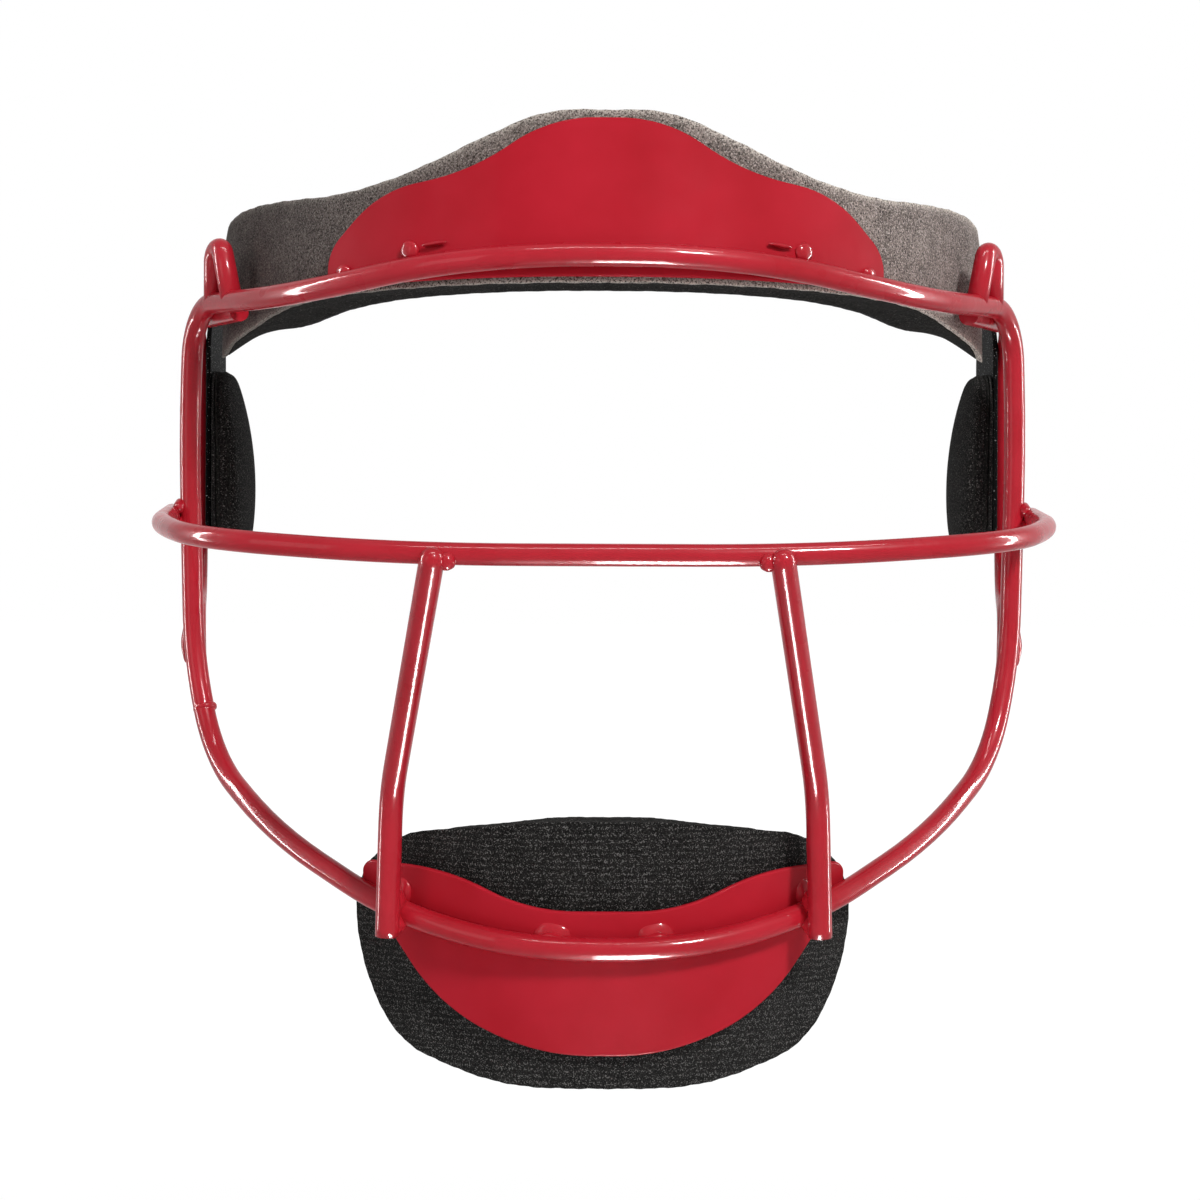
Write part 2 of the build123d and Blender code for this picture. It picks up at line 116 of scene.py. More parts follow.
# %% Bending flat coordinates
class Bend:
    """Flat pad coordinates bent along a wire's plan.

    A place is the plan curve at that distance, plus the curve's inward normal times the depth,
    slid back by the lean times the height above the wire.
    """

    def __init__(self, half, lean, level):
        plan = np.array(half, float)
        plan[:, 1] -= lean * (plan[:, 2] - level)
        plan = plan[:, :2]
        self.curve = spaced(rounded(np.concatenate([plan[::-1] * (-1, 1), plan])), 900)
        step = np.gradient(self.curve, axis=0)
        step /= np.linalg.norm(step, axis=1)[:, None]
        self.inward = np.stack([-step[:, 1], step[:, 0]], axis=1)
        length = np.linalg.norm(np.diff(self.curve, axis=0), axis=1)
        self.along = np.concatenate([[0], np.cumsum(length)])
        self.along -= self.along[-1] / 2
        self.end = self.along[-1]
        self.lean, self.level = lean, level

    def place(self, along, height, depth):
        """Places in the guard for arrays of flat coordinates."""
        spot = np.stack([np.interp(along, self.along, axis) for axis in self.curve.T], axis=-1)
        inward = np.stack([np.interp(along, self.along, axis) for axis in self.inward.T], axis=-1)
        flat = spot + inward * np.asarray(depth)[..., None]
        return np.stack([flat[..., 0], flat[..., 1] + self.lean * (height - self.level), height], axis=-1)

    def distance(self, x, depth):
        """Distance along the bend at which a layer at that depth reaches x."""
        return np.interp(x, self.curve[:, 0] + self.inward[:, 0] * depth, self.along)


tuck, tail, flare = 3.2 * mm, 18 * mm, 4 * mm
corner = brow[2] - (tuck, 0, 0)
forehead_bend = Bend([*brow[:2], corner, corner + (flare, tail, 0)], 0.14, 72 * mm)
chin_bend = Bend(chin, -0.2, -74 * mm)
print("bends", round(forehead_bend.end * 2 / mm), "and", round(chin_bend.end * 2 / mm), "mm long")

# %% [markdown]
# ## Pad outlines
# Laid flat, each pad has a top edge and a bottom edge. Both are given as a few corners, rounded like
# the real die-cut shape, and read as heights at a distance from the middle. On the forehead the hem
# also climbs with depth near the ends, because there the foam is squeezed round the bend.

# %% Reading an outline
face_depth = 5.3 * mm
cloth = 1.4 * mm


class Outline:
    """Closed outline of a pad in flat coordinates, from the rounded corners of its right half.

    Near the ends the hem climbs: by the squeeze, times the depth share, times the cube of the
    distance share past its start, times how far down the point lies between top and hem.
    """

    def __init__(self, corners, tight={}, squeeze=0.0, start=0.0, thick=1.0):
        line = [(0, corners[0][1]), *corners, (0, corners[-1][1])]
        line = spaced(rounded(line, {k: r * mm for k, r in tight.items()}), 1200)
        self.reach = line[:, 0].max()
        outer = np.flatnonzero(line[:, 0] > self.reach - 0.001 * mm)
        self.top, self.low = line[:outer[0] + 1], line[outer[-1]:][::-1]
        self.line, self.squeeze, self.start, self.thick = line, squeeze, start, thick

    def loop(self, count, depth):
        """Outline at one depth, and the middle of the pad's height beside each point."""
        half = spaced(self.line, count)
        out, height = half.T
        top = np.interp(out, self.top[:, 0], self.top[:, 1])
        low = np.interp(out, self.low[:, 0], self.low[:, 1])
        share = np.clip((out - self.start) / (self.reach - self.start), 0, 1)
        climb = self.squeeze * (depth - face_depth) / self.thick * share ** 3
        down = np.clip((top - height) / (top - low), 0, 1)
        half = np.stack([out, height + climb * down], axis=1)
        middle = np.stack([out, (top + low + climb) / 2], axis=1)
        return tuple(np.concatenate([part, part[::-1] * (-1, 1)]) for part in (half, middle))


def corners_at(bend, points):
    """Outline corners with their x, in mm, turned into a distance along the bend."""
    return [(float(bend.distance(x * mm, face_depth)), z * mm) for x, z in points]


forehead_thick, chin_thick = 16 * mm, 14 * mm
end = forehead_bend.end
forehead_outline = Outline(
    corners_at(forehead_bend, [(13.0, 104.2), (50.2, 88.1), (84.5, 92.4)])
    + [(end - 7 * mm, 90.4 * mm), (end, 86 * mm), (end, 58.3 * mm)]
    + corners_at(forehead_bend, [(87.0, 61.4), (75.0, 65.6), (57.7, 66.8)]),
    {5: 5.0, 6: 1.5}, squeeze=11 * mm, start=float(forehead_bend.distance(60 * mm, face_depth)),
    thick=forehead_thick)
chin_outline = Outline(corners_at(chin_bend, [
    (12.3, -47.0), (45.2, -50.9), (55.8, -62.0), (54.4, -80.5), (46.0, -98.1), (22.3, -105.7)]))
print("pads reach", round(forehead_outline.reach / mm, 1), "and", round(chin_outline.reach / mm, 1), "mm")


# %% [markdown]
# ## A pad's skin
# A die-cut pad has two faces and a wall. Its skin is made of rings, each a copy of the outline loop:
# rings grow from the middle line of the front face to the outline, go down the wall, and shrink
# again on the back. Each ring has an inset from the outline, a share of its height, and a depth.

# %% Rings to a closed mesh
same_place, sliver = 0.004 * mm, 0.002 * mm


def ring_mesh(name, rings, edge=None):
    """Closed mesh from a stack of rings of equal length, joined ring to ring with quads.

    An optional number for each ring is kept as the attribute cut_edge, for the finish to read.
    """
    stack = np.array(rings)
    count, around = stack.shape[:2]
    index = np.arange(count * around).reshape(count, around)
    on = np.roll(index, -1, axis=1)
    faces = np.stack([index[:-1], on[:-1], on[1:], index[1:]], axis=-1).reshape(-1, 4)
    mesh = bpy.data.meshes.new(name)
    mesh.from_pydata(stack.reshape(-1, 3), [], faces.tolist())
    if edge is not None:
        mesh.attributes.new("cut_edge", "FLOAT", "POINT").data.foreach_set("value", np.repeat(edge, around))
    work = bmesh.new()
    work.from_mesh(mesh)
    bmesh.ops.remove_doubles(work, verts=work.verts, dist=same_place)
    bmesh.ops.dissolve_degenerate(work, edges=work.edges, dist=sliver)
    bmesh.ops.recalc_face_normals(work, faces=work.faces)
    if work.calc_volume(signed=True) < 0:
        bmesh.ops.reverse_faces(work, faces=work.faces)
    work.to_mesh(mesh)
    work.free()
    mesh.polygons.foreach_set("use_smooth", np.ones(len(mesh.polygons), bool))
    return linked(name, mesh)


def inward_normal(loop):
    """Inward normal of a closed loop: its direction turned a quarter inwards, smoothed."""
    step = np.roll(loop, -1, axis=0) - np.roll(loop, 1, axis=0)
    step /= np.maximum(np.linalg.norm(step, axis=1), 1e-9)[:, None]
    inward = np.stack([step[:, 1], -step[:, 0]], axis=1)
    inward = np.roll(inward, 1, axis=0) + inward * 2 + np.roll(inward, -1, axis=0)
    return inward / np.maximum(np.linalg.norm(inward, axis=1), 1e-9)[:, None]


def skin_profile(near, far, edge, waist, across=12):
    """Rows of (inset, share, depth) from the middle of the front face round to the back's middle.

    Shares follow a sine so that rows close up at the edge. The wall turns each edge by a quarter
    circle and its waist draws it in by a sine of the depth.
    """
    quarter = math.pi / 2
    shares = np.sin(np.linspace(0, quarter, across))
    turn = np.linspace(0, quarter, 6)[1:]
    front = [(edge, share, near) for share in shares]
    front += [(edge * (1 - math.sin(a)), 1.0, near + edge * (1 - math.cos(a))) for a in turn]
    steps = np.linspace(0, 1, 8)[1:-1]
    height = far - near - 2 * edge
    wall = [(waist * math.sin(math.pi * s), 1.0, near + edge + height * s) for s in steps]
    back = [(inset, share, near + far - depth) for inset, share, depth in reversed(front)]
    return front + wall + back


def layer(name, bend, outline, near, far, edge, waist=0.0, around=170, uneven=0.0):
    """One layer of a pad as a closed skin, its cut edge uneven by a sum of two sines.

    The attribute cut_edge is the share to a high power, so it is one on the wall and soon nought.
    """
    rings, profile = [], skin_profile(near, far, edge, waist)
    for inset, share, depth in profile:
        loop, centre = outline.loop(around, depth)
        place = np.arange(len(loop))
        ragged = uneven * (np.sin(place * 1.9) + np.sin(place * 0.83 + 1))
        flat = loop + inward_normal(loop) * (inset + ragged)[:, None]
        flat = centre + (flat - centre) * (1, share)
        rings.append(bend.place(flat[:, 0], flat[:, 1], np.full(len(loop), depth)))
    shares = np.array([share for inset, share, depth in profile])
    return ring_mesh(name, rings, shares ** 20)


# %% [markdown]
# ## The forehead and chin pads
# Each has three layers: loop cloth in front, closed-cell foam, and a soft knit against the skin. The
# laminate is die cut in one stroke, so its edges are crisp and the cloth ends in a thin uneven line.
# Each layer is its own piece, because each has its own finish.

# %% Laminated pads
def laminate(word, bend, outline, thick, around):
    """Front cloth, foam and rear knit of one pad."""
    back = face_depth + thick
    front = layer(f"{word}_pad_cloth", bend, outline, face_depth, face_depth + cloth, 0.3 * mm,
                  around=around, uneven=0.06 * mm)
    foam = layer(f"{word}_pad_foam_core", bend, outline, face_depth + cloth * 0.85, back - cloth * 0.85,
                 0.5 * mm, waist=0.5 * mm, around=around, uneven=0.02 * mm)
    knit = layer(f"{word}_pad_knit", bend, outline, back - cloth, back, 0.6 * mm, around=around,
                 uneven=0.03 * mm)
    return front, foam, knit


pads = {"forehead": laminate("forehead", forehead_bend, forehead_outline, forehead_thick, 190),
        "chin": laminate("chin", chin_bend, chin_outline, chin_thick, 150)}
print("faces in a forehead layer", len(pads["forehead"][0].data.polygons))

# %% [markdown]
# ## The side pads
# A small pad sits beside each strap bar: a stiff loop backing, a foam block crowned towards the
# temple, and a knit cover drawn over it. Its flat coordinates run back along Y and up along Z, and its
# depth runs in from the hook strip, scaled to the pad's own thickness at each place.

# %% Side pad space
side_length, side_height, side_base, side_thick = 36 * mm, 43.5 * mm, 13 * mm, 9.4 * mm
side_face, side_middle, side_peak = 96.35 * mm, 30 * mm, 27.4 * mm
heel_radius, crown_radius_up, crown_radius_back = 130 * mm, 82 * mm, 80 * mm
least_thick = 1.2 * mm


def sagitta(radius, span):
    """Drop of a circle at a distance from its top.

    It is the radius, less the root of the radius squared less the span squared.
    """
    return radius - np.sqrt(radius ** 2 - span ** 2)


class SideBend:
    """Flat coordinates of a side pad: back along Y, up along Z, and in from its outer face."""

    def __init__(self, side):
        self.side = side

    def place(self, along, height, depth):
        """Places beside the temple: bowed off the strip, and crowned in both directions inside."""
        heel = sagitta(heel_radius, along)
        crown = sagitta(crown_radius_up, height - side_peak) + sagitta(crown_radius_back, along)
        room = np.maximum(side_thick - crown - heel, least_thick)
        x = side_face - heel - depth / side_thick * room
        return np.stack([self.side * x, side_middle + along, height], axis=-1)


# %% [markdown]
# The knit cover is soft, so it is simulated: a slightly small block is remeshed to even cells and
# blown up as cloth under a little pressure. No point may then have moved further than a cap.

# %% Blowing up a cover
cloth_frames = 20


def settled(piece):
    """The piece's mesh with its modifiers worked in, which are then cleared."""
    mesh = bpy.data.meshes.new_from_object(piece.evaluated_get(bpy.context.evaluated_depsgraph_get()))
    piece.modifiers.clear()
    return mesh


def blow_up(piece, cell, pressure, cap, keep_out):
    """Cloth under pressure, each point's move capped in length, and kept off the backing."""
    name = piece.data.name
    remesh = piece.modifiers.new("even_cells", "REMESH")
    remesh.mode, remesh.voxel_size = "VOXEL", cell
    start = settled(piece)
    before = np.empty(len(start.vertices) * 3)
    start.vertices.foreach_get("co", before)
    piece.data = start
    sim = piece.modifiers.new("blow", "CLOTH")
    sim.settings.use_pressure = True
    sim.settings.uniform_pressure_force = pressure
    sim.settings.effector_weights.gravity = 0
    for number in range(1, cloth_frames + 1):
        bpy.context.scene.frame_set(number)
    blown = settled(piece)
    after = np.empty_like(before)
    blown.vertices.foreach_get("co", after)
    bpy.context.scene.frame_set(1)
    move = (after - before).reshape(-1, 3)
    length = np.maximum(np.linalg.norm(move, axis=1), 1e-9)[:, None]
    before = (before.reshape(-1, 3) + move * np.minimum(length, cap) / length).ravel()
    places = before.reshape(-1, 3)
    places[:, 0] = np.sign(places[:, 0]) * np.minimum(np.abs(places[:, 0]), keep_out)
    start.vertices.foreach_set("co", places.ravel())
    start.update()
    start.name = name
    start.polygons.foreach_set("use_smooth", np.ones(len(start.polygons), bool))
    finer = piece.modifiers.new("finer", "SUBSURF")
    finer.levels = finer.render_levels = 1


for word, side in sides:
    bend = SideBend(side)
    outline = Outline([(side_length / 2, side_base + side_height), (side_length / 2, side_base)],
                      {1: 15, 2: 15})
    backing = layer(f"{word}_side_pad_loop_backing", bend, outline, 0.0, 1.3 * mm,
                    edge=0.3 * mm, around=60)
    foam = layer(f"{word}_side_pad_foam_block", bend, outline, 1.4 * mm, 7.4 * mm,
                 edge=1.2 * mm, waist=1.2 * mm, around=60)
    cover = layer(f"{word}_side_pad_knit", bend, outline, 1.5 * mm, 9.0 * mm,
                  edge=1.8 * mm, waist=0.3 * mm, around=60)
    blow_up(cover, cell=1.3 * mm, pressure=4.0, cap=0.5 * mm, keep_out=side_face - 0.7 * mm)
    pads[f"{word}_side"] = (backing, foam, cover)
print("side covers", [len(pads[k][2].data.vertices) for k in ("right_side", "left_side")], "vertices")

# %% [markdown]
# ## Strap loops
# On each brow corner a short wire hairpin stands on the bar. Its legs are pressed close together, so
# from the front it looks like a pointed tab. A circle carried along the rounded route makes it; the
# route lies in one upright plane, so the circle's first direction never changes.

# %% Hairpins
closing_shares = (0.0, 0.6)


def swept_wire(name, route, radius, across, around=24, domed=False):
    """Closed wire: a circle carried along a flat route.

    Each ring is the route's point plus the radius times the cosine of the angle across the route's
    plane, and the sine in it. The ends close to their centres through smaller rings; a domed start
    is a half sphere, each ring out by the sine of an angle and as wide as its cosine.
    """
    step = np.gradient(route, axis=0)
    step /= np.linalg.norm(step, axis=1)[:, None]
    within = np.cross(step, across)
    angle = np.linspace(0, 2 * math.pi, around, endpoint=False)
    circle = np.cos(angle)[None, :, None] * across + np.sin(angle)[None, :, None] * within[:, None, :]
    rings = route[:, None, :] + circle * radius
    start = [route[0][None, :] + circle[0] * radius * share for share in closing_shares]
    if domed:
        start = [route[0][None, :] - step[0] * radius * math.sin(a) + circle[0] * radius * math.cos(a)
                 for a in np.linspace(math.pi / 2, 0, 8)[:-1]]
    stop = [route[-1][None, :] + circle[-1] * radius * share for share in closing_shares[::-1]]
    return ring_mesh(name, np.concatenate([start, rings, stop]))


hairpin_radius, hairpin_rise, hairpin_bend, hairpin_step = 2.5 * mm, 12.5 * mm, 2.8 * mm, 4.7 * mm
hairpin_feet = (0.57, 0.765)
metal = []
for word, side in sides:
    inner, outer = brow[1] * (side, 1, 1), brow[2] * (side, 1, 1)
    front, rear = (inner + (outer - inner) * share for share in hairpin_feet)
    along = (rear - front) / np.linalg.norm(rear - front)
    crown = rear + (0, 0, hairpin_rise)
    path = rounded([front, crown - along * hairpin_step, crown, rear],
                   {1: hairpin_bend, 2: hairpin_bend}, 12)
    across = np.array([along[1], -along[0], 0])
    loop = swept_wire(f"{word}_strap_loop_wire", path, hairpin_radius, across)
    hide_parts(f"{word}_strap_loop")
    metal.append(loop)
print("strap loops stand", round(hairpin_rise / mm, 1), "mm over the bar")

# %% [markdown]
# ## Uprights
# Two straight wires carry the load of a ball from the eye bar down to the chin. Each is bent once, at a
# knee, so that its foot hangs in front of the chin wire. Its head is rounded over and welded.

# %% Uprights
upright_radius, knee_radius = 2.6 * mm, 26 * mm
upright_points = np.array([(35.1, -102.0, 7.8), (45.6, -65.0, -41.5), (46.6, -61.8, -72.4)]) * mm
for word, side in sides:
    points = upright_points * (side, 1, 1)
    across = np.cross(points[1] - points[0], points[2] - points[1])
    across /= np.linalg.norm(across)
    path = spaced(rounded(points, {1: knee_radius}), 60)
    bar = swept_wire(f"{word}_upright_wire", path, upright_radius, across, domed=True)
    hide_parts(f"{word}_upright_bar")
    metal.append(bar)
print("uprights bent at", np.round(upright_points[1] / mm, 1))

# %% [markdown]
# ## Welds
# Where wires cross and where a plate lies against a wire, weld metal has flowed into the corner and
# the powder has rounded it further. Each weld is a squashed sphere with a slightly uneven surface,
# long in the direction of its seam. All of them are one piece, in the place of the plain drops.

# %% Weld metal
ripple_three, ripple_two = 0.05, 0.03


def weld(centre, along, up, sizes):
    """Rings of one weld: a sphere's latitudes, stretched along three directions.

    The radius is one plus two small sines of the angles, so no two sides are alike.
    """
    along, up = np.array(along, float), np.array(up, float)
    along /= np.linalg.norm(along)
    up = up - along * (up @ along)
    up /= np.linalg.norm(up)
    tall, round_ = np.linspace(0, math.pi, 15)[:, None], np.linspace(0, 2 * math.pi, 24, endpoint=False)
    ripple = 1 + ripple_three * np.sin(3 * round_ + 5 * tall) * np.sin(tall)
    ripple = ripple + ripple_two * np.sin(2 * round_) * np.sin(tall)
    axes = np.array([along * sizes[0], up * sizes[1], np.cross(along, up) * sizes[2]])
    unit = np.stack([np.cos(tall) + 0 * round_, np.sin(tall) * np.cos(round_),
                     np.sin(tall) * np.sin(round_)], -1)
    return centre + (unit * ripple[..., None]) @ axes


def at(route, x):
    """Point of a route where its first coordinate is x."""
    return np.array([np.interp(x, route[:, 0], axis) for axis in route.T])


def heading(route, x):
    """Direction of a route where its first coordinate is x."""
    return at(route, x + 1 * mm) - at(route, x - 1 * mm)


def in_order(points):
    """A rounded route in order of its first coordinate."""
    route = rounded(points)
    return route[np.argsort(route[:, 0])]


cheek = np.array([(92.0, -7.0, -37.9)]) * mm
half_chin = in_order(np.concatenate([[chin[0] * (-1, 1, 1)], chin, cheek]))
half_brow = in_order(np.concatenate([[brow[0] * (-1, 1, 1)], brow]))
wire = 2.5 * mm
seams = []


def crevice(route, x, rise, back, sizes):
    """Weld on the corner between a wire's top and the plate behind it, all in mm."""
    spot, along = at(route, x * mm), heading(route, x * mm)
    inward = np.array([-along[1], along[0], 0]) / np.linalg.norm(along[:2])
    spot = spot + inward * back * mm + (0, 0, rise * mm)
    seams.append(weld(spot, along, (0, 0, 1), [size * mm for size in sizes]))


crevice(half_chin, 11.4, rise=2.2, back=2.6, sizes=(4.2, 3.6, 1.6))
crevice(half_chin, 11.4, rise=1.2, back=1.4, sizes=(3.4, 2.0, 2.0))
crevice(half_chin, 44.9, rise=3.4, back=2.4, sizes=(2.4, 3.6, 1.9))
crevice(half_brow, 43.6, rise=4.5, back=2.9, sizes=(2.2, 2.2, 1.1))
crevice(half_brow, 58.8, rise=3.2, back=2.5, sizes=(1.9, 1.4, 1.1))
crevice(half_brow, 37.8, rise=5.0, back=2.4, sizes=(3.0, 0.45, 0.7))

# %% [markdown]
# An upright's foot is welded over and under the chin wire, and its head on one side. The eye bar is
# welded over and under its lap on the temple wire, and the strap bar down both sides of its foot.

# %% Welds on the bars
foot_x, foot_out, foot_aside = 45.1 * mm, 3.0 * mm, 2.2 * mm
foot, foot_way = at(half_chin, foot_x), heading(half_chin, foot_x)
outward = np.array([foot_way[1], -foot_way[0], 0]) / np.linalg.norm(foot_way[:2])
aside = foot_way / np.linalg.norm(foot_way) * foot_aside
for rise, tall in ((2.9, 2.6), (-2.4, 2.3)):
    seams.append(weld(foot + outward * foot_out - aside + (0, 0, rise * mm), (0, 0, 1), outward,
                      (tall * mm, 2.6 * mm, 1.9 * mm)))
# Centre, the seam's direction, the direction up from it, and three half sizes, lengths in mm
upward, sideways, lap_way = (0, 0, 1), (1, 0, 0), (0, 1, 0.2)
bar_welds = (((32.2, -101.6, 7.6), upward, sideways, (1.9, 1.9, 1.7)),
             ((100.7, -0.6, 22.0), lap_way, upward, (3.0, 1.7, 1.5)),
             ((100.7, 0.0, 18.0), lap_way, upward, (3.0, 1.6, 1.4)),
             ((99.4, 2.4, -10.5), upward, sideways, (5.0, 1.4, 1.4)),
             ((96.4, 2.4, -10.5), upward, sideways, (5.0, 1.4, 1.4)))
for centre, along, up, sizes in bar_welds:
    seams.append(weld(np.array(centre) * mm, along, up, np.array(sizes) * mm))
eye_low, eye_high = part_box("eye_bar")
print("welds", len(seams) * 2, "on an eye bar", np.round((eye_high - eye_low) / mm, 1), "mm")

# %% [markdown]
# The perimeter wire is one length, closed by a butt weld on a cheek and ground off. A low ring is
# still left there under the powder: the surface of a half ellipse turned about the wire's line.

# %% Butt ring and the weld piece
ring_rise, ring_half_length, ring_sink = 0.35 * mm, 0.8 * mm, 0.2 * mm


def butt_ring(spot, along, radius, rise, half_length):
    """Low ring round a wire: a flat half ellipse turned about the wire's line, closed inside it."""
    along = along / np.linalg.norm(along)
    first = np.cross(along, (0, 1, 0.3))
    first /= np.linalg.norm(first)
    angle = np.linspace(0, 2 * math.pi, 32, endpoint=False)[:, None]
    circle = np.cos(angle) * first + np.sin(angle) * np.cross(along, first)
    turn = np.linspace(0, math.pi, 9)
    out = radius - ring_sink + (rise + ring_sink) * np.sin(turn)
    shape = [(0.0, -1.0), *zip(out, -np.cos(turn)), (0.0, 1.0)]
    return np.stack([spot + circle * r + along * half_length * a for r, a in shape])


def joined(name, parts):
    """One mesh from several closed ones."""
    pieces = [ring_mesh(f"{name}_{i}", rings) for i, rings in enumerate(parts)]
    work = bmesh.new()
    for piece in pieces:
        work.from_mesh(piece.data)
        old = piece.data
        bpy.data.objects.remove(piece)
        bpy.data.meshes.remove(old)
    mesh = bpy.data.meshes.new(name)
    work.to_mesh(mesh)
    work.free()
    mesh.polygons.foreach_set("use_smooth", np.ones(len(mesh.polygons), bool))
    return linked(name, mesh)


upper, lower = np.array([-91.3, -7.0, -37.9]) * mm, np.array([-97.1, 0.0, -14.0]) * mm
ring = butt_ring((upper + lower) / 2, upper - lower, wire, ring_rise, ring_half_length)
mirror_side = np.array([-1.0, 1.0, 1.0])
welds = joined("weld_webs", seams + [seam * mirror_side for seam in seams] + [ring])
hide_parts("weld_beads")
metal.append(welds)
print("points in the weld metal", len(welds.data.vertices))

# %% [markdown]
# ## Hook strips
# The side pads hold on to a strip of hook tape bonded round each strap bar. It is a thin flat strip
# with rounded corners, and a half sleeve behind the bar.

# %% Hook strips
strip_face, strip_thick = 97.85 * mm, 1.2 * mm
strip_middle, strip_half, strip_low, strip_top = 35 * mm, 14 * mm, 13 * mm, 70.5 * mm
strip_top_radius, strip_low_radius = 10, 7
bar_x, bar_y, sleeve_radius = 100.2 * mm, 26 * mm, 2.95 * mm
sleeve_low, sleeve_top, sleeve_edge = 15.5 * mm, 52.5 * mm, 0.2 * mm


class StripBend:
    """Flat coordinates of a hook strip: back along Y, up along Z, and in from its outer face."""

    def __init__(self, side):
        self.side = side

    def place(self, along, height, depth):
        """Places beside the strap bar, in one upright plane for each depth."""
        return np.stack([self.side * (strip_face - depth), strip_middle + along, height], axis=-1)


hooks = []
for word, side in sides:
    outline = Outline([(strip_half, strip_top), (strip_half, strip_low)],
                      {1: strip_top_radius, 2: strip_low_radius})
    strip = layer(f"{word}_hook_strip", StripBend(side), outline, 0.0, strip_thick,
                  edge=0.25 * mm, around=80)
    turn = np.linspace(0, math.pi, 22)
    out = np.stack([np.cos(turn), np.sin(turn)], 1)
    arc = (bar_x, bar_y) + out * sleeve_radius
    half = out * strip_thick / 2
    section = np.concatenate([arc + half, (arc - half)[::-1]])
    middle = np.concatenate([arc, arc[::-1]])
    rows = ((sleeve_low, 0.0), (sleeve_low, 0.8), (sleeve_low + sleeve_edge, 1.0),
            (sleeve_top - sleeve_edge, 1.0), (sleeve_top, 0.8), (sleeve_top, 0.0))
    rings = [np.column_stack([(middle + (section - middle) * share) * (side, 1),
                              np.full(len(section), height)]) for height, share in rows]
    sleeve = ring_mesh(f"{word}_hook_sleeve", rings)
    for piece in (strip, sleeve):
        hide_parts(f"{word}_hook_wrap")
        hooks.append(piece)
print("hook strips", len(hooks))

# %% [markdown]
# ## What stands for what
# A new piece takes the place of the plain solid that carried its collision, and rides on the same
# body, so it peels off with the pad.

# %% Bodies
stands = {"forehead": (("face", "loop_cloth"), ("foam", "foam"), ("liner", "lining")),
          "chin": (("face", "pad_cloth"), ("foam", "foam"), ("liner", "lining")),
          "right_side": (("backing", "pad_cloth"), ("foam", "foam"), ("cover", "pad_cloth")),
          "left_side": (("backing", "pad_cloth"), ("foam", "foam"), ("cover", "pad_cloth"))}
dressed = []
for word, rows in stands.items():
    for piece, (part, slot) in zip(pads[word], rows):
        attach(piece, f"{word}_pad")
        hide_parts(f"{word}_pad_{part}")
        dressed.append((piece, slot))
for piece in metal + hooks:
    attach(piece, "guard")
print("pad pieces", len(dressed), "metal pieces", len(metal))

# %% [markdown]
# ## Finishes
# Each finish is a node tree on Object coordinates, so it stays on its piece at every pose. A few
# helpers keep the trees short to read.

# %% Node helpers
def adder(graph):
    """A function that adds a node to one tree."""
    def add(kind, links={}, settings={}, **values):
        """A new node with its links, its settings and the plain values of its sockets."""
        node = graph.nodes.new(kind)
        for key, value in settings.items():
            setattr(node, key, value)
        for key, value in values.items():
            node.inputs[key].default_value = value
        for key, source in links.items():
            graph.links.new(source, node.inputs[key])
        return node

    return add


def tree(name):
    """A new material, its Principled shader, and functions that add and link nodes."""
    material = bpy.data.materials.new(name)
    material.use_nodes = True
    graph = material.node_tree
    return material, graph.nodes["Principled BSDF"], adder(graph), graph.links.new


def wear(piece, material):
    """Gives a piece one material in the place of any that it has."""
    piece.data.materials.clear()
    piece.data.materials.append(material)


def grain(add, where, scale, detail=2.0, roughness=0.5):
    """Noise on a coordinate, its scale in features to the metre."""
    noise = add("ShaderNodeTexNoise", {"Vector": where}, Scale=scale, Detail=detail, Roughness=roughness)
    return noise.outputs["Fac"]


def ramp(add, fac, *stops):
    """Colour ramp from places and colours."""
    node = add("ShaderNodeValToRGB", {"Fac": fac})
    while len(node.color_ramp.elements) < len(stops):
        node.color_ramp.elements.new(0.5)
    for element, (place, colour) in zip(node.color_ramp.elements, stops):
        element.position = place
        element.color = (*colour, 1)
    return node.outputs["Color"]


def blend_colours(add, link, fac, first, second, kind="MIX"):
    """Mix of two colours, linked or plain."""
    node = add("ShaderNodeMix", settings={"data_type": "RGBA", "blend_type": kind})
    for socket, value in zip((0, 6, 7), (fac, first, second)):
        if isinstance(value, bpy.types.NodeSocket):
            link(value, node.inputs[socket])
        else:
            node.inputs[socket].default_value = value
    return node.outputs[2]


# %% [markdown]
# ### Powder coat
# Powder is sprayed dry and melts into a thick gloss film with a faint orange peel. The recipe is a
# deep red with slow changes of tone, a gloss like a clear coat, and two sizes of shallow bump. The
# plates are flatter and duller than the wires, because powder on a broad sheet melts less smooth.

# %% Powder coat
deep_red, full_red = (0.44, 0.0115, 0.022), (0.52, 0.0165, 0.032)
body_change = 0.05


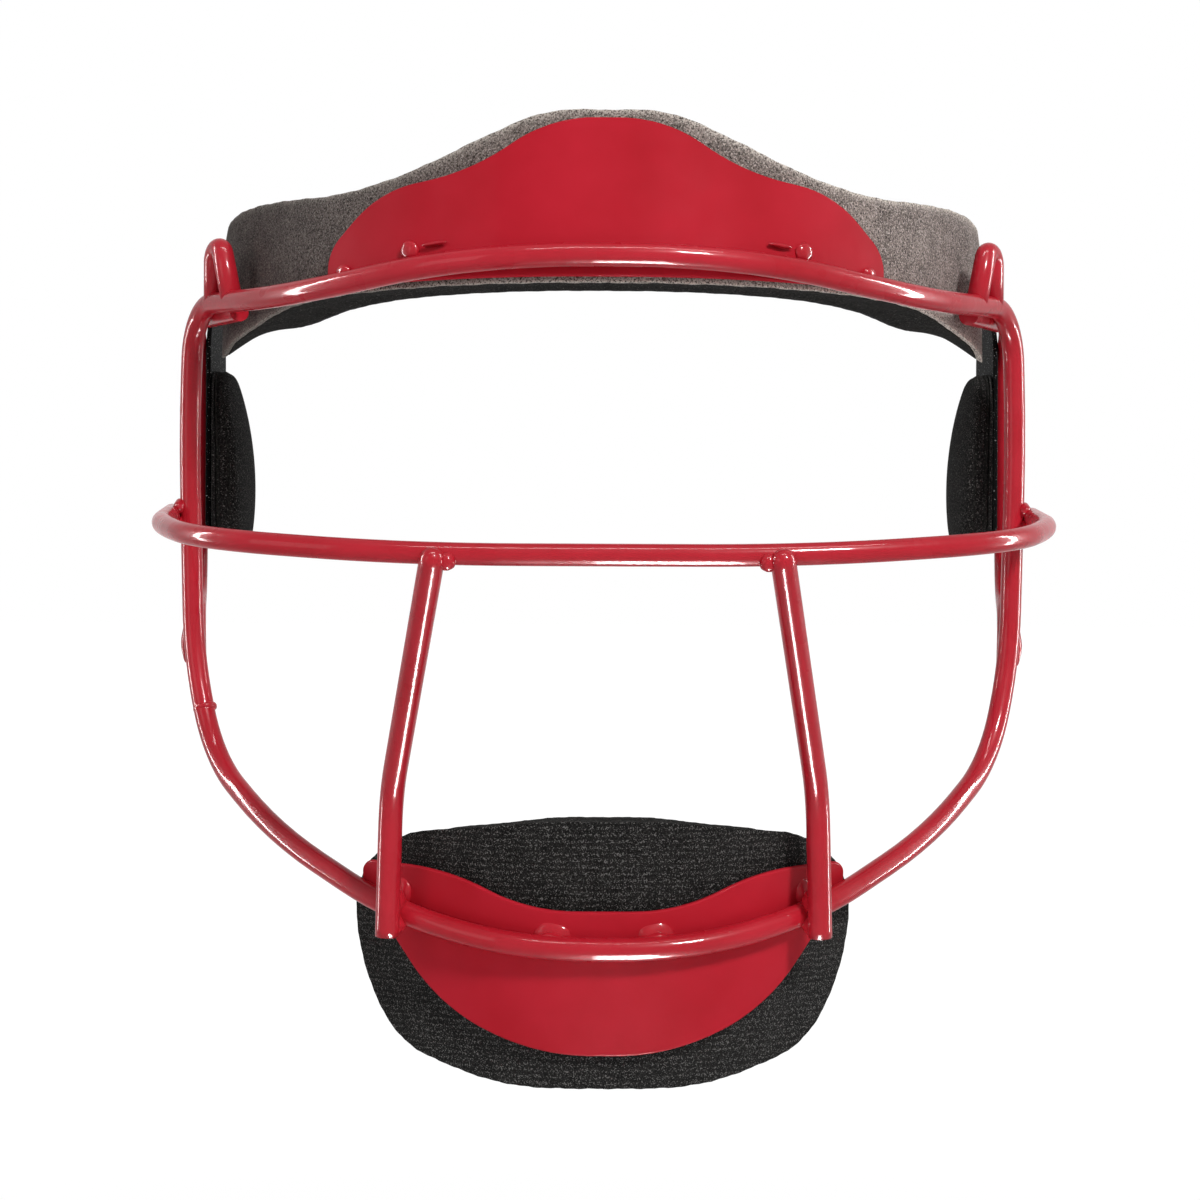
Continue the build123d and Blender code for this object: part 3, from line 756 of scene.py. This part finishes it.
def powder(name, gloss, body, mirror):
    """Deep red powder.

    The tone and the roughness change slowly over the piece, the coat's weight is the gloss, and two
    sizes of shallow bump give the orange peel.
    """
    material, shader, add, link = tree(name)
    where = add("ShaderNodeTexCoord").outputs["Object"]
    tone = ramp(add, grain(add, where, 45, 3), (0.3, deep_red), (0.7, full_red))
    link(tone, shader.inputs["Base Color"])
    smooth, dull = (body - body_change,) * 3, (body + body_change,) * 3
    rough = ramp(add, grain(add, where, 160, 2), (0.35, smooth), (0.65, dull))
    link(rough, shader.inputs["Roughness"])
    low = add("ShaderNodeBump", {"Height": grain(add, where, 420, 1)}, Strength=0.12, Distance=0.0004)
    high = add("ShaderNodeBump", {"Height": grain(add, where, 1500, 1), "Normal": low.outputs["Normal"]},
               Strength=0.06, Distance=0.0002)
    link(high.outputs["Normal"], shader.inputs["Normal"])
    for key, value in (("Specular IOR Level", mirror), ("Coat Weight", gloss), ("Coat Roughness", 0.06),
                       ("Coat IOR", 1.45)):
        shader.inputs[key].default_value = value
    return material


wire_coat = powder("red_powder_coat", gloss=0.27, body=0.30, mirror=0.05)
plate_coat = powder("red_powder_coat_on_plate", gloss=0.03, body=0.55, mirror=0.015)
wires = ["perimeter_wire", "eye_bar", "right_strap_bar", "left_strap_bar"]
plates = ["forehead_plate", "chin_plate"]
for names, coat in ((wires, wire_coat), (plates, plate_coat)):
    for name in names:
        wear(nodes[name], coat)
for piece in metal:
    wear(piece, wire_coat)
print("coated", len(wires) + len(plates), "nodes and", len(metal), "pieces")


# %% [markdown]
# ### Cloths and foam
# The forehead pad's front is a brushed loop cloth: short fibres that scatter light, grey with dark
# gaps. The other pads wear a charcoal knit with pale specks in fine rows. Both start as noise at the
# size of a fibre; rows come from a wave in Z, and a sheen stands for the nap. The loop cloth also
# carries painted light: it is painted darker to the left and lighter to the right, for the key light
# from the right and the sheen of its nap.

# %% Cloth recipe
# The reach is the half width in X over which the painted light on the loop cloth goes from dark to pale.
row_lift, painted_light_reach = 0.07, 90 * mm


def nap(name, dark, pale, speck, fibre, few, rows=0.0, sheen=0.1, rough=0.95, painted_light_shift=0.0, fray=None):
    """Cloth of fibres: two tones, and specks where noise passes a level.

    Optionally it has rows, painted light that makes it darker to one side and lighter to the other, and a
    frayed edge.
    """
    material, shader, add, link = tree(name)
    where = add("ShaderNodeTexCoord").outputs["Object"]
    fine, patch = grain(add, where, fibre, 3, 0.8), grain(add, where, fibre / 14, 3, 0.6)
    tone = ramp(add, fine, (0.38, dark), (0.62, pale))
    worn = ramp(add, patch, (0.3, (0.7,) * 3), (0.7, (1.25,) * 3))
    tone = blend_colours(add, link, 1.0, tone, worn, "MULTIPLY")
    specks = grain(add, where, fibre * 1.3, 1, 0.6)
    if rows:
        wave = add("ShaderNodeTexWave", {"Vector": where}, {"bands_direction": "Z"}, Scale=rows,
                   Distortion=1.5, Detail=1.0)
        lift = add("ShaderNodeMath", {0: wave.outputs["Fac"], 2: specks}, {"operation": "MULTIPLY_ADD"})
        lift.inputs[1].default_value = row_lift
        specks = lift.outputs[0]
    shown = ramp(add, specks, (few, (0,) * 3), (few + 0.05, (1,) * 3))
    tone = blend_colours(add, link, shown, tone, (*speck, 1))
    if fray:
        edge = add("ShaderNodeAttribute", settings={"attribute_name": "cut_edge"}).outputs["Fac"]
        ends = ramp(add, specks, (0.42, (0,) * 3), (0.52, (1,) * 3))
        loose = add("ShaderNodeMath", {0: edge, 1: ends}, {"operation": "MULTIPLY"}).outputs[0]
        tone = blend_colours(add, link, loose, tone, (*fray, 1))
    # Painted light: the tone is multiplied darker to the left and lighter to the right, standing in for the
    # key light and the nap's sheen.
    if painted_light_shift:
        aside = add("ShaderNodeSeparateXYZ", {"Vector": where}).outputs["X"]
        levels = {"From Min": -painted_light_reach, "From Max": painted_light_reach, "To Min": 1 - painted_light_shift, "To Max": 1 + painted_light_shift}
        side = add("ShaderNodeMapRange", {"Value": aside}, **levels)
        tone = blend_colours(add, link, 1.0, tone, side.outputs["Result"], "MULTIPLY")
    link(tone, shader.inputs["Base Color"])
    bump = add("ShaderNodeBump", {"Height": fine}, Strength=0.7, Distance=0.0004)
    link(bump.outputs["Normal"], shader.inputs["Normal"])
    for key, value in (("Roughness", rough), ("Sheen Weight", sheen), ("Specular IOR Level", 0.02)):
        shader.inputs[key].default_value = value
    return material


black = (0.002, 0.002, 0.002)
finish = {
    # The brushed loop cloth carries painted light: darker to the left and lighter to the right.
    "brushed": nap("brushed_loop_cloth", dark=(0.020, 0.016, 0.014), pale=(0.33, 0.272, 0.247),
                   speck=(0.50, 0.43, 0.40), fibre=2100, few=0.60, painted_light_shift=0.52, fray=(0.62, 0.56, 0.50)),
    "chin_knit": nap("charcoal_ribbed_knit", dark=black, pale=(0.024, 0.023, 0.022),
                     speck=(0.15, 0.145, 0.14), fibre=2600, few=0.625, rows=224, sheen=0.02),
    "side_knit": nap("charcoal_knit", dark=black, pale=(0.030, 0.028, 0.027),
                     speck=(0.12, 0.115, 0.11), fibre=2100, few=0.60, sheen=0.03),
    "lining": nap("soft_lining", dark=(0.008, 0.008, 0.009), pale=(0.042, 0.042, 0.044),
                  speck=(0.10, 0.10, 0.10), fibre=2300, few=0.62),
    "foam": nap("cut_foam", dark=(0.004, 0.004, 0.004), pale=(0.028, 0.027, 0.025),
                speck=(0.13, 0.125, 0.115), fibre=1700, few=0.66, sheen=0.02),
    # The hook tape's pale specks are painted glints of its hooks, not a colour of the black tape.
    "hook_tape": nap("hook_tape_painted_glints", dark=(0.001, 0.001, 0.001), pale=(0.006, 0.006, 0.006),
                     speck=(0.45, 0.45, 0.45), fibre=1900, few=0.68, sheen=0.0, rough=0.6)}
wears = {"loop_cloth": "brushed", "pad_cloth": "chin_knit"}
for piece, slot in dressed:
    key = "side_knit" if slot == "pad_cloth" and "side" in piece.name else wears.get(slot, slot)
    wear(piece, finish[key])
for piece in [nodes["forehead_hook_tape"], nodes["chin_hook_tape"], *hooks]:
    wear(piece, finish["hook_tape"])
print("cloths and foam on", len(dressed), "pieces, hook tape on", len(hooks) + 2)

# %% [markdown]
# ## Studio
# The guard was photographed in front of plain white. So a pale floor lies below it and a white
# surround fills the shadows. The camera sees both as white, while the light that they give is weaker,
# because a surround as bright as it looks would wash out the red.

# %% Floor and surround
floor_mesh = bpy.data.meshes.new("studio_floor")
floor_height, floor_half = -0.3, 30.0
square = [(-1, -1), (1, -1), (1, 1), (-1, 1)]
corners = [(x * floor_half, y * floor_half, floor_height) for x, y in square]
floor_mesh.from_pydata(corners, [], [(0, 1, 2, 3)])
floor = linked("studio_floor", floor_mesh)
pale, shader, add, link = tree("pale_floor")
shader.inputs["Base Color"].default_value = (0.95, 0.95, 0.95, 1)
shader.inputs["Roughness"].default_value = 0.9
shader.inputs["Specular IOR Level"].default_value = 0.1


def seen_rays(add):
    """One for camera, glossy and transmission rays, and nought for light that only bounces."""
    path = add("ShaderNodeLightPath").outputs
    greater = {"operation": "MAXIMUM"}
    first = add("ShaderNodeMath", {0: path["Is Camera Ray"], 1: path["Is Glossy Ray"]}, greater)
    return add("ShaderNodeMath", {0: first.outputs[0], 1: path["Is Transmission Ray"]}, greater).outputs[0]


glow_near, glow_far, glow_least = 0.3, 1.4, 0.82
glow = add("ShaderNodeEmission", Strength=1.07)
where = add("ShaderNodeTexCoord").outputs["Object"]
away = add("ShaderNodeVectorMath", {0: where}, {"operation": "LENGTH"})
levels = {"From Min": glow_near, "From Max": glow_far, "To Min": glow_least, "To Max": 1.0}
bright = add("ShaderNodeMapRange", {"Value": away.outputs["Value"]}, **levels)
share = add("ShaderNodeMath", {0: seen_rays(add), 1: bright.outputs["Result"]}, {"operation": "MULTIPLY"})
plain, lit = shader.outputs["BSDF"], glow.outputs["Emission"]
mix = add("ShaderNodeMixShader", {0: share.outputs[0], 1: plain, 2: lit})
link(mix.outputs["Shader"], pale.node_tree.nodes["Material Output"].inputs["Surface"])
floor_mesh.materials.append(pale)

world = bpy.data.worlds.new("studio")
bpy.context.scene.world = world
world.use_nodes = True
add_sky = adder(world.node_tree)
bounce_level = 0.24
levels = {"To Min": bounce_level, "To Max": 1.0}
level = add_sky("ShaderNodeMapRange", {"Value": seen_rays(add_sky)}, **levels)
sky = world.node_tree.nodes["Background"]
sky.inputs["Color"].default_value = (1, 1, 1, 1)
world.node_tree.links.new(level.outputs["Result"], sky.inputs["Strength"])
bpy.context.scene.view_settings.view_transform = "Standard"
print("floor at", round(floor_height / mm), "mm")


# %% [markdown]
# A photographer shapes gloss with white cards that hardly light the object. Here the cards are lamps
# that only reflections see. A tall one at each side draws the streaks on the temple wires, and a small
# one below the front draws them on the uprights, which lean back and so mirror what lies under them.
# One in front draws the short highlights, and a wide one overhead the soft line along level wires.

# %% Lamps
def soft_lamp(name, place, size, power, aim=(0, 0, 0), card=False):
    """Rectangular area lamp that faces a point. A card shows in reflections and lights nothing."""
    data = bpy.data.lights.new(name, "AREA")
    data.shape = "RECTANGLE"
    data.size, data.size_y = size
    data.energy = power
    lamp = linked(name, data)
    lamp.location = place
    lamp.rotation_euler = (Vector(aim) - Vector(place)).to_track_quat("-Z", "Y").to_euler()
    lamp.visible_camera = False
    lamp.visible_diffuse = not card
    return lamp


# Name, place, size across and up in metres, and power in watts
lamps = [soft_lamp("key_lamp", (0.55, -1.1, 0.8), (0.2, 0.2), 13),
         soft_lamp("fill_lamp", (-0.9, -0.9, 0.3), (0.5, 0.7), 2.2),
         soft_lamp("right_card", (0.95, 0.1, 0.1), (0.10, 1.1), 32, card=True),
         soft_lamp("left_card", (-0.95, 0.1, 0.1), (0.10, 1.1), 22, card=True),
         soft_lamp("low_card", (0.035, -0.13, -0.285), (0.07, 0.2), 4.5, aim=(0.035, -0.1, 0), card=True),
         soft_lamp("front_card", (0.5, -1.0, 0.85), (0.22, 0.18), 28, card=True),
         soft_lamp("top_card", (0.1, -0.5, 1.1), (0.9, 0.12), 10, card=True)]
print("lamps", len(lamps))

# %% [markdown]
# ## Camera
# The photograph was taken from straight in front, level with the middle of the guard and about
# 0.6 m away, with a slight turn to the right.

# %% Camera
camera_distance, camera_aside = 0.62, 0.0062
camera_roll, camera_turn = -0.25, -0.52
data = bpy.data.cameras.new("front_camera")
data.sensor_width = 36
data.lens = 77.85
data.clip_start, data.clip_end = 0.05, 200
camera = linked("front_camera", data)
camera.location = (-camera_aside, -camera_distance, 0)
camera.rotation_euler = [math.radians(angle) for angle in (90, camera_roll, camera_turn)]
bpy.context.scene.camera = camera
print("lens", data.lens)
